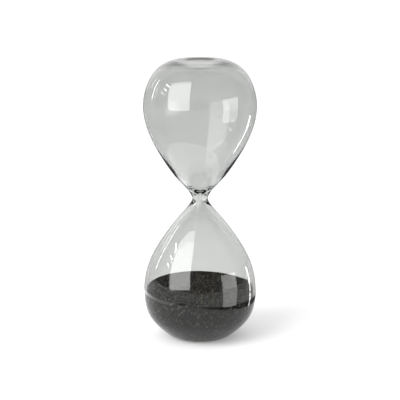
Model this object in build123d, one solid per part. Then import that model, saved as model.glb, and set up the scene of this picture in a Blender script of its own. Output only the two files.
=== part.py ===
"""A frameless blown-glass hourglass: two teardrop bulbs fused at a thick clear neck, with black
sand lying in the lower bulb.

Millimetres, +Z up. The origin is the middle of the base, on the axis of revolution, and the
front of the hourglass faces -Y.
"""

from build123d import *
from math import cos, radians, sin, sqrt, tan
import os
import random

# Overall sizes.
HEIGHT = 190.5                  # 7.5 inches
WAIST_HEIGHT = 96.2             # the narrowest place, a little above half height
BELLY_RADIUS = 38.1             # 3 inches across
BELLY_FROM_END = 32.0
WAIST_RADIUS = 5.3

# Flat ends: a standing ring with a shallow dimple pressed into its middle.
LOWER_FLAT_RADIUS = 15.0
UPPER_FLAT_RADIUS = 13.0
DIMPLE_RADIUS = 10.7
DIMPLE_DEPTH = 1.2

# Glass thickness, measured square to the outside.
END_WALL = 2.2
SHOULDER_WALL = 1.6
BELLY_WALL = 1.3
FLANK_WALL = 1.6
FLOOR_RISE = 1.0                # the inner floor bulges up over the dimple by this much
THROAT_RADIUS = 1.05
NECK_REACH = 14.0               # the thick neck ends this far above and below the waist

# Fill hole in the upper end, closed by a dab of glass.
SEAL_RADIUS = 3.0
SEAL_DOME = 0.5

# Sand.
SAND_LEVEL = 33.0               # height of its surface on the axis
SAND_FALL_FRONT = 5.0           # degrees that the surface falls towards the front
SAND_FALL_RIGHT = 0.9           # degrees that it falls towards the right
SAND_GAP = 0.3                  # between the sand and the glass
BORE_RADIUS = 0.95              # channel in the sand that holds the falling grains
BORE_FLOOR = 6.0

# Grains that are separate solids.
FALLING_GRAIN_RADIUS = 0.45
FALLING_GRAIN_PITCH = 1.15
BRONZE_GRAIN_COUNT = 60
STRAY_GRAIN_COUNT = 12
GRAIN_SEAT = 0.02               # a lying grain's gap to what it lies on


def lower_outline_points():
    """Radius and distance from the base of the outside of the lower bulb, up to the waist."""
    height = WAIST_HEIGHT
    return [
        (LOWER_FLAT_RADIUS, 0),
        (26.6, 6),
        (34.7, 15.4),
        (BELLY_RADIUS, BELLY_FROM_END),
        (34.9, height - 45.2),
        (25.1, height - 27),
        (14.7, height - 13),
        (7.4, height - 4.3),
        (WAIST_RADIUS, height),
    ]


def upper_outline_points():
    """Radius and distance from the top of the outside of the upper bulb, down to the waist."""
    height = HEIGHT - WAIST_HEIGHT
    return [
        (UPPER_FLAT_RADIUS, 0),
        (28.4, 6),
        (34.8, 15.4),
        (BELLY_RADIUS, BELLY_FROM_END),
        (34.4, height - 45.2),
        (24.8, height - 27),
        (14.6, height - 13),
        (7.0, height - 4.3),
        (WAIST_RADIUS, height),
    ]


def smooth_curve(points):
    """Spline through points, level at its start and upright at its end, spaced by chord length."""
    places = [Vector(*point) for point in points]
    spacing = [0.0]
    for here, there in zip(places, places[1:]):
        spacing.append(spacing[-1] + (there - here).length)
    ends = [Vector(1, 0), Vector(0, 1)]
    return Edge.make_spline(places, tangents=ends, parameters=spacing, scale=False)


def cavity_outline(outside_points, throat_points, gap=0.0):
    """Inside curve of one bulb, offset inwards from the outside curve, then down the throat."""
    outside = smooth_curve(outside_points)
    floor = END_WALL + gap
    walls = [SHOULDER_WALL, BELLY_WALL, BELLY_WALL, BELLY_WALL, FLANK_WALL]
    points = [(0, floor + FLOOR_RISE), (outside_points[0][0] - 1, floor)]
    for point, wall in zip(outside_points[1:6], walls):
        along = outside.tangent_at(outside.param_at_point(Vector(*point)))
        inwards = Vector(-along.Y, along.X)
        inside = Vector(*point) + inwards * (wall + gap)
        points.append((inside.X, inside.Y))
    height = outside_points[-1][1]
    points += [(radius, height - drop) for radius, drop in throat_points]
    return smooth_curve(points)


# Radius and distance from the waist. The upper funnel is wide and ends in a short straight
# throat; the lower one opens more gently.
LOWER_FUNNEL = [(11.6, 13.4), (4.3, 6.4), (1.8, 2.8), (THROAT_RADIUS, 0)]
UPPER_FUNNEL = [(11.6, 13.4), (4.4, 7.0), (1.5, 4.0), (THROAT_RADIUS, 0)]


def stand_up(curve):
    """Turn a curve drawn in XY as radius and height into the XZ plane."""
    return curve.rotate(Axis.X, 90)


def turn_over(curve):
    """Flip a curve of the lower half so that it runs down from the top of the hourglass."""
    return curve.mirror(Plane.XY).translate((0, 0, HEIGHT))


def end_outline(flat_radius):
    """Standing ring and dimple of an end, from the axis out to the shoulder."""
    rim = Vector(DIMPLE_RADIUS, 0)
    dimple = Edge.make_tangent_arc(Vector(0, DIMPLE_DEPTH), Vector(1, 0), rim)
    ring = Line(rim, (flat_radius, 0))
    return [dimple, ring]


def revolved(lower_curves, upper_curves, low_axis_height, high_axis_height):
    """Solid of revolution between two sets of curves that meet at the waist."""
    edges = [stand_up(curve) for curve in lower_curves]
    edges += [turn_over(stand_up(curve)) for curve in upper_curves]
    edges.append(Line((0, 0, low_axis_height), (0, 0, high_axis_height)))
    return revolve(make_face(edges), Axis.Z)


def glass_envelope():
    """Everything inside the outer surface of the hourglass."""
    lower = end_outline(LOWER_FLAT_RADIUS) + [smooth_curve(lower_outline_points())]
    upper = end_outline(UPPER_FLAT_RADIUS) + [smooth_curve(upper_outline_points())]
    return revolved(lower, upper, DIMPLE_DEPTH, HEIGHT - DIMPLE_DEPTH)


def cavity(gap=0.0):
    """The sealed space inside both bulbs and the throat, shrunk by gap."""
    lower = [cavity_outline(lower_outline_points(), LOWER_FUNNEL, gap)]
    upper = [cavity_outline(upper_outline_points(), UPPER_FUNNEL, gap)]
    floor = END_WALL + FLOOR_RISE + gap
    return revolved(lower, upper, floor, HEIGHT - floor)


def fill_seal():
    """Dab of glass in the fill hole, with a low dome inside and outside."""
    foot = HEIGHT - END_WALL - FLOOR_RISE
    top = HEIGHT - DIMPLE_DEPTH
    corner = Vector(SEAL_RADIUS, top - hole_depth_at_rim())
    profile = [
        Line((0, 0, foot - SEAL_DOME), (0, 0, top + SEAL_DOME)),
        Edge.make_tangent_arc(Vector(0, 0, top + SEAL_DOME), Vector(1, 0, 0), Vector(corner.X, 0, corner.Y)),
        Line((corner.X, 0, corner.Y), (SEAL_RADIUS, 0, foot)),
        Edge.make_tangent_arc(Vector(0, 0, foot - SEAL_DOME), Vector(1, 0, 0), Vector(SEAL_RADIUS, 0, foot)),
    ]
    return revolve(make_face(profile), Axis.Z)


def hole_depth_at_rim():
    """How far below the dimple's middle the dimple lies at the fill hole's rim."""
    bowl_radius = (DIMPLE_RADIUS**2 + DIMPLE_DEPTH**2) / (2 * DIMPLE_DEPTH)
    return sqrt(bowl_radius**2 - SEAL_RADIUS**2) - bowl_radius


def slab(low, high):
    """Wide box between two heights, used to cut the glass into its pieces."""
    box = Box(3 * BELLY_RADIUS, 3 * BELLY_RADIUS, high - low)
    return box.translate((0, 0, (low + high) / 2))


def glass_pieces():
    """Lower bulb, thick neck and upper bulb, which meet face to face."""
    hole = Cylinder(SEAL_RADIUS, 4 * END_WALL).translate((0, 0, HEIGHT))
    glass = glass_envelope() - cavity() - hole
    neck_low = WAIST_HEIGHT - NECK_REACH
    neck_high = WAIST_HEIGHT + NECK_REACH
    return {
        "lower_bulb": glass & slab(-1, neck_low),
        "neck_weld": glass & slab(neck_low, neck_high),
        "upper_bulb": glass & slab(neck_high, HEIGHT + 1),
    }


def sand_height(x, y):
    """Height of the sand's surface at a place in plan."""
    return SAND_LEVEL + y * tan(radians(SAND_FALL_FRONT)) - x * tan(radians(SAND_FALL_RIGHT))


def sand_surface():
    """Plane of the sand's surface."""
    slope_x = sand_height(1, 0) - sand_height(0, 0)
    slope_y = sand_height(0, 1) - sand_height(0, 0)
    return Plane(origin=(0, 0, SAND_LEVEL), z_dir=(-slope_x, -slope_y, 1))


def sand_bed():
    """Sand that fills the lower bulb up to its sloping surface, with the channel on its axis."""
    channel = Cylinder(BORE_RADIUS, HEIGHT).translate((0, 0, BORE_FLOOR + HEIGHT / 2))
    whole = cavity(SAND_GAP) - channel
    below_neck = whole & slab(0, WAIST_HEIGHT - NECK_REACH)
    return split(below_neck, bisect_by=sand_surface(), keep=Keep.BOTTOM)


def grain(radius, x, y, z):
    """One round grain of sand."""
    return Sphere(radius).translate((x, y, z))


def falling_grains():
    """A string of grains on the axis, from the channel's floor up to the sand's surface."""
    step = FALLING_GRAIN_PITCH
    count = int((SAND_LEVEL - BORE_FLOOR) / step)
    start = BORE_FLOOR + FALLING_GRAIN_RADIUS + GRAIN_SEAT
    grains = [grain(FALLING_GRAIN_RADIUS, 0, 0, start + step * i) for i in range(count)]
    return Compound(grains)


def bronze_grains():
    """Coarser bronze-coloured grains lying on the sand's surface, clear of the channel."""
    dice = random.Random(11)
    surface = sand_surface()
    grains = []
    for turn in range(BRONZE_GRAIN_COUNT):
        radius = dice.uniform(0.2, 0.4)
        reach = 3 + 29 * sqrt((turn + dice.random()) / BRONZE_GRAIN_COUNT)
        angle = dice.uniform(0, 360)
        x = reach * cos(radians(angle))
        y = reach * sin(radians(angle))
        lift = surface.z_dir * (radius + GRAIN_SEAT)
        grains.append(grain(radius, x + lift.X, y + lift.Y, sand_height(x, y) + lift.Z))
    return Compound(grains)


def stray_grains():
    """Dust grains that cling inside the upper bulb after the sand has run out."""
    dice = random.Random(5)
    inside = cavity_outline(upper_outline_points(), UPPER_FUNNEL)
    grains = []
    for _ in range(STRAY_GRAIN_COUNT):
        place = dice.uniform(0.35, 0.85)
        radius = dice.uniform(0.15, 0.25)
        along = inside.tangent_at(place)
        inwards = Vector(-along.Y, along.X)
        centre = inside.position_at(place) + inwards * (radius + GRAIN_SEAT)
        angle = radians(dice.uniform(0, 360))
        grains.append(grain(radius, centre.X * cos(angle), centre.X * sin(angle), HEIGHT - centre.Y))
    return Compound(grains)


def main():
    nodes = glass_pieces()
    nodes["fill_seal"] = fill_seal()
    nodes["sand_bed"] = sand_bed()
    nodes["bronze_grains"] = bronze_grains()
    nodes["falling_grains"] = falling_grains()
    nodes["stray_grains"] = stray_grains()
    os.makedirs("parts", exist_ok=True)
    for name, shape in nodes.items():
        export_step(shape, f"parts/{name}.step")
        print(name, len(shape.solids()), round(shape.volume, 2))


main()
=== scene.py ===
"""Looks of the frameless glass hourglass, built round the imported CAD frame. Metres, +Z up."""

import math
import random

import bmesh
import bpy
import numpy as np
from mathutils import Matrix, Vector, noise


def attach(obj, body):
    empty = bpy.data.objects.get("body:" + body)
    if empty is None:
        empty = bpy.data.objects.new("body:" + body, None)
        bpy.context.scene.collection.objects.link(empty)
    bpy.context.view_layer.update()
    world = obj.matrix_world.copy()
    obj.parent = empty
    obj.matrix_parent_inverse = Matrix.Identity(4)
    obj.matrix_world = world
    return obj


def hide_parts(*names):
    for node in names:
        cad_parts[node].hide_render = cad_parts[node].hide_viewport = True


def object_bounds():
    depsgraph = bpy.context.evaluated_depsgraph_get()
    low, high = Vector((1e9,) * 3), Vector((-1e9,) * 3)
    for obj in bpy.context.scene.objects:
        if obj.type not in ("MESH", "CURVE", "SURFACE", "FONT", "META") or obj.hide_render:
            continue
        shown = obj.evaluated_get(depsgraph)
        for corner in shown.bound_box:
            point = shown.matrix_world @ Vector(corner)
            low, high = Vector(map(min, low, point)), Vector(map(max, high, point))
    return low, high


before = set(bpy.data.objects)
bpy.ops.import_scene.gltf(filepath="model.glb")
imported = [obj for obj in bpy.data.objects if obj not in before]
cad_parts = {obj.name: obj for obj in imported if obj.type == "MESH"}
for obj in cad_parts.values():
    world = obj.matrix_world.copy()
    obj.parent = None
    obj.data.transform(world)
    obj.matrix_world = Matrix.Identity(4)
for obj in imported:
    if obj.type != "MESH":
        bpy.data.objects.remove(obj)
bpy.context.view_layer.update()
cad_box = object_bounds()

MM = 0.001

# Glass mesh.
AROUND = 240                    # facets round the axis
ALONG = 200                     # points along each of the outer and inner outlines
CORNER_TURN = 10                # degrees; a sharper turn than this in an outline is a corner
RIPPLE_DEPTH = 0.045 * MM       # how far the blown outer surface wanders inwards
RIPPLE_SIZE = 22 * MM
RIPPLE_END = 8 * MM             # the ripples fade out this near either end
RIPPLE_FADE = 20 * MM           # and within this radius of the axis
SEAL_REACH = 3.05 * MM          # just past the fill seal's edge
SEAL_DEPTH = 8 * MM             # deeper below the top than any of the seal
SEAL_DOME_LEFT = 0.25           # share of the fill seal's dome that shows
SEED_COUNT = 14                 # small air bubbles in the glass

# Sand mesh.
SAND_PRESS = 0.03 * MM          # how far the sand's side passes the inside of the glass, to leave no air
SAND_AROUND = 240
SAND_ACROSS = 90
SAND_DOWN = 90
SAND_ROUGH = 0.16 * MM          # height of the surface's unevenness
SAND_FIRST_REACH = 0.03         # where the search for the sand's edge starts
WALL_ABOVE_BELLY = 40           # outline points above the belly that the sand's edge may need
GRAIN_REACH = 0.0345            # loose grains lie within this distance of the axis
BLACK_GRAIN_COUNT = 2600
BRONZE_FLECK_COUNT = 1100
# Gentle rises and hollows of the sand's surface: x, y, height and width.
SAND_MOUNDS = [
    (-13 * MM, -35 * MM, 2.1 * MM, 6 * MM),
    (-25 * MM, -27 * MM, -0.8 * MM, 6 * MM),
    (26 * MM, -22 * MM, -0.8 * MM, 12 * MM),
    (-34 * MM, -12 * MM, -1.2 * MM, 8 * MM),
    (34 * MM, -6 * MM, -1.6 * MM, 9 * MM),
    (34 * MM, 13 * MM, 1.5 * MM, 10 * MM),
]

# Paper backdrop and table.
COVE_START = 1.6                # how far behind the hourglass it starts to rise
COVE_RADIUS = 1.0
TABLE_SHIFT = -0.035            # the table's middle lies this far to the side
PAPER_DROP = 0.2 * MM           # the paper lies this far under the table's top
PAPER_GLOW = 0.20
TABLE_RADIUS = 0.125            # the paper beyond this is left out of reflections

# Lights.
WORLD_LEVEL = 0.86
WORLD_IN_REFLECTIONS = 0.14
GLINT_AIM = 0.1                 # height that the aimed glints are turned to

# Camera.
CAMERA_DISTANCE = 1.2           # in front of the axis
CAMERA_HEIGHT = 0.3591
CAMERA_PITCH = 12.41            # degrees down from level
CAMERA_LENS = 163.5


def node_mesh(name):
    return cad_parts[name].data


# ---------------------------------------------------------------- outlines read from the frame

def seam_edges(name, places):
    """Edges of a CAD node that lie in the half plane y = 0, x >= 0, as pairs of point keys."""
    mesh = node_mesh(name)
    edges = set()
    for edge in mesh.edges:
        ends = [mesh.vertices[i].co for i in edge.vertices]
        if any(abs(end.y) > 0.001 * MM or end.x < -0.001 * MM for end in ends):
            continue
        keys = [(round(end.x, 5), round(end.z, 5)) for end in ends]
        if keys[0] != keys[1]:
            places.update(zip(keys, ((abs(end.x), end.z) for end in ends)))
            edges.add(tuple(sorted(keys)))
    return edges


def cut_at(edges, keys):
    """The same edges, with each upright one cut at any of the keys that lies on it."""
    cut = set()
    for start, end in edges:
        between = [key for key in keys if start[0] == key[0] == end[0] and start[1] < key[1] < end[1]]
        stops = [start, *sorted(between), end]
        cut.update(zip(stops, stops[1:]))
    return cut


def glass_outlines():
    """Outer and inner outline of the fused glass, each from the lower axis point to the upper."""
    places = {}
    pieces = [seam_edges(name, places) for name in GLASS_NODES]
    pieces = [cut_at(edges, places) for edges in pieces]
    used_by = {}
    for number, edges in enumerate(pieces):
        for edge in edges:
            for key in edge:
                used_by.setdefault(key, set()).add(number)
    beside = {}
    for start, end in set().union(*pieces):
        inside_joint = len(used_by[start]) > 1 and len(used_by[end]) > 1
        if not inside_joint:
            beside.setdefault(start, []).append(end)
            beside.setdefault(end, []).append(start)
    tips = sorted((key for key in beside if len(beside[key]) == 1), key=lambda key: key[1])
    return [walk(tips[0], beside, places), walk(tips[1], beside, places)]


def walk(tip, beside, places):
    """Points from tip to the other end of its chain."""
    chain = [tip]
    while True:
        onward = [key for key in beside[chain[-1]] if key not in chain[-2:]]
        if not onward:
            return np.array([places[key] for key in chain])
        chain.append(onward[0])


def settle_seal(points):
    """Lower the fill seal's dome in an outline, so that it barely shows."""
    inside = (points[:, 0] < SEAL_REACH) & (points[:, 1] > cad_box[1].z - SEAL_DEPTH)
    rim = points[inside][points[inside, 0].argmax(), 1]
    points[inside, 1] = rim + SEAL_DOME_LEFT * (points[inside, 1] - rim)
    return points


def spline_through(points, wanted):
    """Natural cubic spline through points, read at wanted places along their chord length."""
    chord = np.concatenate([[0], np.cumsum(np.linalg.norm(np.diff(points, axis=0), axis=1))])
    count = len(points)
    step = np.diff(chord)
    system = np.eye(count)
    right = np.zeros_like(points)
    slope = np.diff(points, axis=0) / step[:, None]
    for i in range(1, count - 1):
        system[i, i - 1:i + 2] = step[i - 1], 2 * (step[i - 1] + step[i]), step[i]
        right[i] = 6 * (slope[i] - slope[i - 1])
    bend = np.linalg.solve(system, right)
    place = np.interp(wanted, np.arange(count), chord)
    span = np.clip(np.searchsorted(chord, place, side="right") - 1, 0, count - 2)
    before = (chord[span + 1] - place)[:, None]
    after = (place - chord[span])[:, None]
    width = step[span][:, None]
    cubic = bend[span] * before**3 / (6 * width) + bend[span + 1] * after**3 / (6 * width)
    line = (points[span] / width - bend[span] * width / 6) * before
    line += (points[span + 1] / width - bend[span + 1] * width / 6) * after
    return cubic + line


def smooth_outline(points, count):
    """About count points on a smooth curve through points, with its real corners kept."""
    legs = np.diff(points, axis=0)
    heading = np.unwrap(np.arctan2(legs[:, 1], legs[:, 0]))
    turns = np.abs(np.diff(heading))
    corners = [0, *(np.nonzero(turns > math.radians(CORNER_TURN))[0] + 1), len(points) - 1]
    runs = []
    for start, end in zip(corners, corners[1:]):
        run = points[start:end + 1]
        amount = max(3, round(count * (end - start) / (len(points) - 1)))
        wanted = np.linspace(0, end - start, amount)
        smooth = spline_through(run, wanted) if len(run) > 2 else linear(run, wanted)
        runs.append(smooth[:-1])
    outline = np.vstack([*runs, points[-1:]])
    outline[:, 1] = outline[:, 1].clip(points[:, 1].min(), points[:, 1].max())
    return outline


def linear(run, wanted):
    return run[0] + (run[1] - run[0]) * wanted[:, None]


# ---------------------------------------------------------------- mesh helpers

def new_object(name, vertices, faces):
    mesh = bpy.data.meshes.new(name)
    mesh.from_pydata(vertices, [], faces)
    mesh.update()
    mesh.polygons.foreach_set("use_smooth", [True] * len(mesh.polygons))
    made = bpy.data.objects.new(name, mesh)
    bpy.context.scene.collection.objects.link(made)
    return made


def revolve(outline, shift=None):
    """Vertices and faces of a closed skin round the axis. The outline starts and ends on it."""
    vertices = [Vector((0, 0, outline[0][1]))]
    rings = outline[1:-1]
    for radius, height in rings:
        for i in range(AROUND):
            turn = math.tau * i / AROUND
            inset = shift(radius, height, turn) if shift else 0.0
            reach = radius - inset
            vertices.append(Vector((reach * math.cos(turn), reach * math.sin(turn), height)))
    vertices.append(Vector((0, 0, outline[-1][1])))
    last = len(vertices) - 1
    faces = []
    for i in range(AROUND):
        after = (i + 1) % AROUND
        faces.append((0, 1 + after, 1 + i))
        for ring in range(len(rings) - 1):
            low = 1 + ring * AROUND
            high = low + AROUND
            faces.append((low + i, low + after, high + after, high + i))
        top = 1 + (len(rings) - 1) * AROUND
        faces.append((top + i, top + after, last))
    return vertices, faces


def joined(parts, flipped=()):
    """One vertex list and face list from several; the numbered parts are turned inside out."""
    vertices = []
    faces = []
    for number, (points, polygons) in enumerate(parts):
        first = len(vertices)
        vertices += points
        for polygon in polygons:
            shifted = [first + i for i in polygon]
            faces.append(shifted[::-1] if number in flipped else shifted)
    return vertices, faces


def grain_shapes(dice, count, detail):
    """A few irregular, slightly angular grains of unit radius."""
    shapes = []
    for _ in range(count):
        ball = bmesh.new()
        bmesh.ops.create_icosphere(ball, subdivisions=detail, radius=1.0)
        offset = Vector((dice.uniform(0, 50), dice.uniform(0, 50), dice.uniform(0, 50)))
        squeeze = Vector((1.0, dice.uniform(0.7, 0.95), dice.uniform(0.6, 0.85)))
        for vertex in ball.verts:
            swell = 1 + 0.22 * noise.noise(vertex.co * 1.7 + offset)
            vertex.co = Vector(a * b * swell for a, b in zip(vertex.co, squeeze))
        points = [vertex.co.copy() for vertex in ball.verts]
        polygons = [[vertex.index for vertex in face.verts] for face in ball.faces]
        shapes.append((points, polygons))
        ball.free()
    return shapes


def scatter(name, dice, places, shapes):
    """One mesh of grains. A place is a centre, a radius and the direction it lies flat against."""
    parts = []
    for centre, radius, flat in places:
        points, polygons = dice.choice(shapes)
        turn = Matrix.Rotation(dice.uniform(0, math.tau), 3, "Z")
        lay = Vector((0, 0, 1)).rotation_difference(flat).to_matrix()
        place = lay @ turn
        parts.append(([centre + place @ (point * radius) for point in points], polygons))
    return new_object(name, *joined(parts))


# ---------------------------------------------------------------- glass

GLASS_NODES = ("lower_bulb", "neck_weld", "upper_bulb", "fill_seal")


def ripple(radius, height, turn):
    """Inward wander of the blown surface; none on the flat ends or close to the axis."""
    top = cad_box[1].z
    clear = min(height, top - height) / RIPPLE_END
    spread = min(1.0, max(0.0, clear)) * min(1.0, radius / RIPPLE_FADE)
    place = Vector((radius * math.cos(turn), radius * math.sin(turn), height))
    return RIPPLE_DEPTH * spread * (0.5 + 0.5 * noise.noise(place / RIPPLE_SIZE))


def seed_bubbles(dice, outer, inner):
    """Small air bubbles inside the wall, drawn out upwards, as skins to be turned inside out."""
    bubbles = []
    for shape in grain_shapes(dice, SEED_COUNT, 2):
        height = dice.uniform(45 * MM, 175 * MM)
        outside = outer[np.argmin(abs(outer[:, 1] - height))][0]
        inside = inner[np.argmin(abs(inner[:, 1] - height))][0]
        middle = (outside + inside) / 2
        turn = dice.uniform(0, math.tau)
        size = dice.uniform(0.12, 0.26) * MM
        centre = Vector((middle * math.cos(turn), middle * math.sin(turn), height))
        stretch = Vector((size, size, 1.8 * size))
        points = [centre + Vector(a * b for a, b in zip(point, stretch)) for point in shape[0]]
        bubbles.append((points, shape[1]))
    return bubbles


def glass_body(outer, inner):
    dice = random.Random(3)
    parts = [revolve(outer, ripple), revolve(inner)] + seed_bubbles(dice, outer, inner)
    body = new_object("glass_body", *joined(parts, flipped=range(1, len(parts))))
    body.data.materials.append(glass_with_painted_shade())
    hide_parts(*GLASS_NODES)
    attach(body, "glass")


# ---------------------------------------------------------------- sand

def sand_plane():
    """Centre and normal of the CAD sand's sloping top face."""
    tops = [face for face in node_mesh("sand_bed").polygons if face.normal.z > 0.9]
    face = max(tops, key=lambda top: top.center.z)
    return face.center.copy(), face.normal.copy()


def sand_top(x, y):
    """Height of the sand's surface."""
    centre, normal = SAND_PLANE
    height = centre.z - ((x - centre.x) * normal.x + (y - centre.y) * normal.y) / normal.z
    for mound_x, mound_y, rise, width in SAND_MOUNDS:
        away = ((x - mound_x)**2 + (y - mound_y)**2) / width**2
        height += rise * math.exp(-away)
    return height


def roughness_at(place):
    """Small unevenness of the sand, from about -1 to 1."""
    coarse = noise.noise(place / (2.6 * MM))
    fine = noise.noise(place / (0.9 * MM))
    return 0.5 * coarse + 0.5 * fine


def sand_reach(turn, wall):
    """Distance from the axis at which the sand's surface meets the glass, and its height there."""
    reach = SAND_FIRST_REACH
    for _ in range(6):
        height = sand_top(reach * math.cos(turn), reach * math.sin(turn))
        reach = np.interp(height, wall[:, 1], wall[:, 0])
    return reach, height


def sand_skin(inner):
    """Closed skin of the sand: a rough top, and sides that follow the inside of the glass."""
    legs = np.diff(inner, axis=0)
    across = np.stack([-legs[:, 1], legs[:, 0]], axis=1)
    across /= np.linalg.norm(across, axis=1)[:, None]
    hull = inner[:-1] - across * SAND_PRESS
    belly = int(np.argmax(hull[:len(hull) // 2, 0]))
    lowest = int(np.argmin(hull[:belly, 1]))
    wall_end = belly + WALL_ABOVE_BELLY
    wall = hull[lowest:wall_end]
    floor_height = hull[0][1]
    vertices = [Vector((0, 0, sand_top(0, 0)))]
    for step in range(1, SAND_ACROSS + 1):
        for i in range(SAND_AROUND):
            turn = math.tau * i / SAND_AROUND
            reach, _ = sand_reach(turn, wall)
            share = math.sin(0.5 * math.pi * step / SAND_ACROSS)
            x = reach * share * math.cos(turn)
            y = reach * share * math.sin(turn)
            place = Vector((x, y, sand_top(x, y)))
            place.z += SAND_ROUGH * roughness_at(place)
            vertices.append(place)
    chord = np.concatenate([[0], np.cumsum(np.linalg.norm(np.diff(hull, axis=0), axis=1))])
    for step in range(1, SAND_DOWN):
        for i in range(SAND_AROUND):
            turn = math.tau * i / SAND_AROUND
            reach, height = sand_reach(turn, wall)
            rim = np.interp(height, wall[:, 1], chord[lowest:wall_end])
            along = rim * (1 - step / SAND_DOWN)
            radius = np.interp(along, chord, hull[:, 0])
            level = np.interp(along, chord, hull[:, 1])
            vertices.append(Vector((radius * math.cos(turn), radius * math.sin(turn), level)))
    vertices.append(Vector((0, 0, floor_height)))
    return vertices, skin_faces(SAND_AROUND, SAND_ACROSS + SAND_DOWN - 1)


def skin_faces(around, rings):
    """Faces of a skin that starts and ends at a single point, with the top ring first."""
    last = 1 + around * rings
    faces = []
    for i in range(around):
        after = (i + 1) % around
        faces.append((0, 1 + i, 1 + after))
        for ring in range(rings - 1):
            near = 1 + ring * around
            far = near + around
            faces.append((near + i, far + i, far + after, near + after))
        end = last - around
        faces.append((end + after, end + i, last))
    return faces


def sand_charge(inner):
    sand = new_object("sand_charge", *sand_skin(inner))
    sand.data.materials.append(BLACK_SAND)
    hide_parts("sand_bed")
    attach(sand, "sand")


def grains_on_top(dice, count, smallest, largest):
    """Places of grains that lie half sunk in the sand's surface, clear of the glass."""
    places = []
    for turn_number in range(count):
        reach = GRAIN_REACH * math.sqrt((turn_number + dice.random()) / count)
        turn = dice.uniform(0, math.tau)
        radius = dice.uniform(smallest, largest)
        x = reach * math.cos(turn)
        y = reach * math.sin(turn)
        centre = Vector((x, y, sand_top(x, y) + 0.3 * radius))
        tilt = Vector((dice.uniform(-0.4, 0.4), dice.uniform(-0.4, 0.4), 1)).normalized()
        places.append((centre, radius, tilt))
    return places


def loose_black_grains():
    dice = random.Random(17)
    places = grains_on_top(dice, BLACK_GRAIN_COUNT, 0.20 * MM, 0.42 * MM)
    grains = scatter("loose_black_grains", dice, places, grain_shapes(dice, 8, 1))
    grains.data.materials.append(BLACK_SAND)
    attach(grains, "sand")


def bronze_grains():
    dice = random.Random(23)
    places = grains_on_top(dice, BRONZE_FLECK_COUNT, 0.20 * MM, 0.34 * MM)
    grains = scatter("bronze_flecks", dice, places, grain_shapes(dice, 8, 1))
    grains.data.materials.append(bronze_sand())
    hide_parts("bronze_grains")
    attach(grains, "sand")


def solid_centres(name):
    """Centre and radius of each separate solid in a CAD node."""
    mesh = bmesh.new()
    mesh.from_mesh(node_mesh(name))
    bmesh.ops.remove_doubles(mesh, verts=mesh.verts, dist=0.001 * MM)
    found = []
    seen = set()
    for first in mesh.verts:
        if first in seen:
            continue
        island = [first]
        seen.add(first)
        for vertex in island:
            for edge in vertex.link_edges:
                other = edge.other_vert(vertex)
                if other not in seen:
                    seen.add(other)
                    island.append(other)
        low = Vector(min(vertex.co[i] for vertex in island) for i in range(3))
        high = Vector(max(vertex.co[i] for vertex in island) for i in range(3))
        found.append(((low + high) / 2, (high.z - low.z) / 2))
    mesh.free()
    return found


def grains_for(node, name, body, seed):
    """Irregular grains in place of a CAD node's round ones."""
    dice = random.Random(seed)
    upright = Vector((0, 0, 1))
    places = [(centre, radius, upright) for centre, radius in solid_centres(node)]
    grains = scatter(name, dice, places, grain_shapes(dice, 8, 2))
    grains.data.materials.append(BLACK_SAND)
    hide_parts(node)
    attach(grains, body)


# ---------------------------------------------------------------- materials

def material(name):
    """A new node material, its node tree and its shader."""
    made = bpy.data.materials.new(name)
    made.use_nodes = True
    tree = made.node_tree
    return made, tree, tree.nodes["Principled BSDF"]


def add(tree, kind, **settings):
    node = tree.nodes.new(kind)
    for name, value in settings.items():
        if hasattr(node, name):
            setattr(node, name, value)
        else:
            node.inputs[name].default_value = value
    return node


def ramp(tree, source, stops):
    """Colour ramp over source; a stop is a place and a colour."""
    node = tree.nodes.new("ShaderNodeValToRGB")
    band = node.color_ramp
    while len(band.elements) < len(stops):
        band.elements.new(0.5)
    for element, (place, colour) in zip(band.elements, stops):
        element.position = place
        element.color = (*colour, 1)
    tree.links.new(source, node.inputs["Fac"])
    return node


def glass_with_painted_shade():
    """Blown glass greyed by painted shade, lightest at the waist and darkest in the upper bulb, with
    absorption as further painted shade.
    """
    made, tree, shader = material("painted_shade_glass_look")
    place = tree.nodes.new("ShaderNodeTexCoord")
    split = tree.nodes.new("ShaderNodeSeparateXYZ")
    tree.links.new(place.outputs["Object"], split.inputs[0])
    height = add(tree, "ShaderNodeMapRange")
    height.inputs["From Max"].default_value = cad_box[1].z
    tree.links.new(split.outputs["Z"], height.inputs["Value"])
    # Painted shade: grey glass colour that changes with height, lightest at the waist and darkest in the
    # upper bulb.
    painted_shade_tint = ramp(tree, height.outputs["Result"], [
        (0.0, (0.785, 0.791, 0.785)),
        (0.40, (0.815, 0.822, 0.815)),
        (0.52, (0.850, 0.857, 0.850)),
        (0.62, (0.765, 0.772, 0.765)),
        (0.75, (0.725, 0.732, 0.725)),
        (1.0, (0.725, 0.732, 0.724)),
    ])
    tree.links.new(painted_shade_tint.outputs["Color"], shader.inputs["Base Color"])
    shader.inputs["Transmission Weight"].default_value = 1.0
    shader.inputs["Roughness"].default_value = 0.0
    shader.inputs["IOR"].default_value = 1.48
    # Painted shade: absorption that darkens the glass where it is thick, as at the rims and the neck.
    painted_shade_absorption = tree.nodes.new("ShaderNodeVolumeAbsorption")
    painted_shade_absorption.inputs["Color"].default_value = (0.40, 0.42, 0.40, 1)
    painted_shade_absorption.inputs["Density"].default_value = 60.0
    output = tree.nodes["Material Output"]
    tree.links.new(painted_shade_absorption.outputs["Volume"], output.inputs["Volume"])
    return made


def sand_bump(tree, shader, cells, strength):
    bump = tree.nodes.new("ShaderNodeBump")
    bump.inputs["Strength"].default_value = strength
    bump.inputs["Distance"].default_value = 0.25 * MM
    bump.invert = True
    tree.links.new(cells.outputs["Distance"], bump.inputs["Height"])
    tree.links.new(bump.outputs["Normal"], shader.inputs["Normal"])


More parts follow.
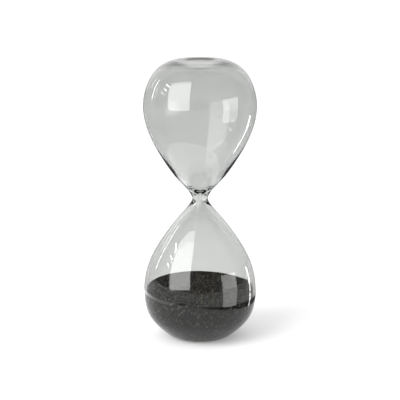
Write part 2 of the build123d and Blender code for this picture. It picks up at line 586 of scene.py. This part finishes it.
def sand_cells(tree, size):
    place = tree.nodes.new("ShaderNodeTexCoord")
    cells = tree.nodes.new("ShaderNodeTexVoronoi")
    cells.inputs["Scale"].default_value = 1 / size
    tree.links.new(place.outputs["Object"], cells.inputs["Vector"])
    chance = tree.nodes.new("ShaderNodeSeparateColor")
    tree.links.new(cells.outputs["Color"], chance.inputs["Color"])
    return cells, chance


def black_sand():
    """Black grains, with a few brown, bronze and pale ones mixed in."""
    made, tree, shader = material("black_sand_look")
    cells, chance = sand_cells(tree, 0.5 * MM)
    dark = ramp(tree, chance.outputs["Red"], [
        (0.0, (0.001, 0.001, 0.001)),
        (0.70, (0.004, 0.004, 0.004)),
        (0.90, (0.014, 0.013, 0.010)),
        (1.0, (0.060, 0.053, 0.040)),
    ])
    _, fleck_chance = sand_cells(tree, 0.66 * MM)
    flecks = ramp(tree, fleck_chance.outputs["Green"], [
        (0.82, (0, 0, 0)),
        (0.90, (0.022, 0.019, 0.014)),
        (0.97, (0.095, 0.082, 0.058)),
        (1.0, (0.340, 0.305, 0.235)),
    ])
    both = add(tree, "ShaderNodeMix", data_type="RGBA", blend_type="ADD", Factor=1.0)
    tree.links.new(dark.outputs["Color"], both.inputs[6])
    tree.links.new(flecks.outputs["Color"], both.inputs[7])
    tree.links.new(both.outputs[2], shader.inputs["Base Color"])
    shader.inputs["Roughness"].default_value = 0.75
    shader.inputs["Specular IOR Level"].default_value = 0.25
    sand_bump(tree, shader, cells, 0.7)
    return made


def bronze_sand():
    """Tan and bronze grains with a slight metallic glint."""
    made, tree, shader = material("bronze_sand_look")
    cells, chance = sand_cells(tree, 0.9 * MM)
    colour = ramp(tree, chance.outputs["Red"], [
        (0.0, (0.16, 0.12, 0.07)),
        (0.5, (0.34, 0.28, 0.17)),
        (1.0, (0.52, 0.47, 0.36)),
    ])
    tree.links.new(colour.outputs["Color"], shader.inputs["Base Color"])
    shader.inputs["Metallic"].default_value = 0.35
    shader.inputs["Roughness"].default_value = 0.38
    sand_bump(tree, shader, cells, 0.3)
    return made


def paper(name, shade, glow):
    """Matt white paper, with the faintest mottling and a little glow of its own."""
    made, tree, shader = material(name)
    place = tree.nodes.new("ShaderNodeTexCoord")
    mottle = tree.nodes.new("ShaderNodeTexNoise")
    mottle.inputs["Scale"].default_value = 3.0
    tree.links.new(place.outputs["Object"], mottle.inputs["Vector"])
    darker = shade - 0.01
    colour = ramp(tree, mottle.outputs["Fac"], [(0.3, (darker,) * 3), (0.7, (shade,) * 3)])
    tree.links.new(colour.outputs["Color"], shader.inputs["Base Color"])
    shader.inputs["Roughness"].default_value = 0.9
    shader.inputs["Specular IOR Level"].default_value = 0.1
    shader.inputs["Emission Color"].default_value = (1, 1, 1, 1)
    shader.inputs["Emission Strength"].default_value = glow
    return made


# ---------------------------------------------------------------- stage, lights and camera

def paper_cove():
    """Sheet of paper that lies under the hourglass and curves up behind it."""
    curve = [(-7.0, 0.0), (COVE_START, 0.0)]
    for step in range(1, 25):
        turn = 0.5 * math.pi * step / 24
        curve.append((COVE_START + COVE_RADIUS * math.sin(turn), COVE_RADIUS * (1 - math.cos(turn))))
    curve.append((COVE_START + COVE_RADIUS, 4.0))
    vertices = [Vector((x, y, z - PAPER_DROP)) for y, z in curve for x in (-5.0, 5.0)]
    faces = [(2 * i, 2 * i + 1, 2 * i + 3, 2 * i + 2) for i in range(len(curve) - 1)]
    cove = new_object("paper_cove", vertices, faces)
    cove.data.materials.append(paper("white_paper", 0.82, PAPER_GLOW))
    cove.visible_glossy = False


def table_top():
    """Round white table that the hourglass stands on."""
    edge = [math.tau * i / 96 for i in range(96)]
    rim = [(TABLE_RADIUS * math.cos(turn), TABLE_RADIUS * math.sin(turn)) for turn in edge]
    vertices = [Vector((x + TABLE_SHIFT, y, 0)) for x, y in rim]
    table = new_object("table_top", vertices, [range(96)])
    table.data.materials.append(paper("table_white", 0.82, PAPER_GLOW))


def softbox(name, centre, across, up, radiance, glint=False, inner=True):
    """Rectangular soft light. across and up are its half sides. A glint lights no matt surface.

    Without inner it isn't seen through glass.
    """
    across = Vector(across)
    up = Vector(up)
    light = bpy.data.lights.new(name, "AREA")
    light.shape = "RECTANGLE"
    light.size = 2 * across.length
    light.size_y = 2 * up.length
    light.energy = radiance * math.pi * light.size * light.size_y
    lamp = bpy.data.objects.new(name, light)
    axes = Matrix((across.normalized(), up.normalized(), across.cross(up).normalized())).transposed()
    lamp.matrix_world = Matrix.Translation(centre) @ axes.to_4x4()
    lamp.visible_camera = False
    lamp.visible_diffuse = not glint
    lamp.visible_transmission = inner
    bpy.context.scene.collection.objects.link(lamp)


def aimed_glint(name, azimuth, elevation, distance, width, height, radiance):
    """Glint turned to the hourglass. Azimuth is measured from the front to the right."""
    turn = math.radians(azimuth)
    tilt = math.radians(elevation)
    away = Vector((math.cos(tilt) * math.sin(turn), -math.cos(tilt) * math.cos(turn), math.sin(tilt)))
    across = Vector((math.cos(turn), math.sin(turn), 0)) * width / 2
    up = away.cross(across).normalized() * height / 2
    softbox(name, away * distance + Vector((0, 0, GLINT_AIM)), across, up, radiance, glint=True)


def studio():
    softbox("key_softbox", (-1.313, -0.998, 0.965), (0.746, -0.338, 0.078), (0.057, 0.330, 0.888), 4.8)
    softbox("side_glint", (2.068, -0.929, -0.053), (0.416, 0.586, -0.030), (-0.128, 0.132, 0.808), 3.2,
            glint=True)
    softbox("left_rim_glint", (-1.42, 0.75, 0.615), (-0.016, -0.029, 0.0), (0.068, 0.120, 0.335), 12.0,
            glint=True, inner=False)
    softbox("back_glint", (0, 1.5, 0.62), (-1.0, 0.0, 0.0), (0.0, 0.05, 0.45), 0.5, glint=True, inner=False)
    softbox("right_rim_glint", (0.272, 0.156, -0.015), (-0.005, 0.007, 0.0), (0.010, 0.014, 0.095), 12.0,
            glint=True)
    aimed_glint("faint_rim_glint", -133, 18, 1.6, 0.07, 0.30, 3.0)
    for elevation in (21, 28, 35):
        aimed_glint("strip_glint", -85, elevation, 1.2, 0.22, 0.012, 70.0)


def studio_world():
    """Even white surroundings, darker where they are mirrored."""
    world = bpy.data.worlds.new("studio")
    world.use_nodes = True
    tree = world.node_tree
    ray = tree.nodes.new("ShaderNodeLightPath")
    level = add(tree, "ShaderNodeMapRange")
    level.inputs["To Min"].default_value = WORLD_LEVEL
    level.inputs["To Max"].default_value = WORLD_IN_REFLECTIONS
    tree.links.new(ray.outputs["Is Glossy Ray"], level.inputs["Value"])
    tree.links.new(level.outputs["Result"], tree.nodes["Background"].inputs["Strength"])
    tree.nodes["Background"].inputs["Color"].default_value = (1, 1, 1, 1)
    bpy.context.scene.world = world
    bpy.context.scene.view_settings.view_transform = "Standard"


def camera():
    data = bpy.data.cameras.new("camera")
    data.lens = CAMERA_LENS
    data.clip_start = 0.05
    view = bpy.data.objects.new("camera", data)
    view.location = (0, -CAMERA_DISTANCE, CAMERA_HEIGHT)
    view.rotation_euler = (math.radians(90 - CAMERA_PITCH), 0, 0)
    bpy.context.scene.collection.objects.link(view)
    bpy.context.scene.camera = view


SAND_PLANE = sand_plane()
BLACK_SAND = black_sand()
outer_points, inner_points = glass_outlines()
outer_line = smooth_outline(settle_seal(outer_points), ALONG)
inner_line = smooth_outline(settle_seal(inner_points), ALONG)

glass_body(outer_line, inner_line)
sand_charge(inner_line)
loose_black_grains()
bronze_grains()
grains_for("falling_grains", "falling_grain_string", "stream", 31)
grains_for("stray_grains", "stray_dust", "glass", 37)
paper_cove()
table_top()
studio()
studio_world()
camera()

bpy.context.view_layer.update()
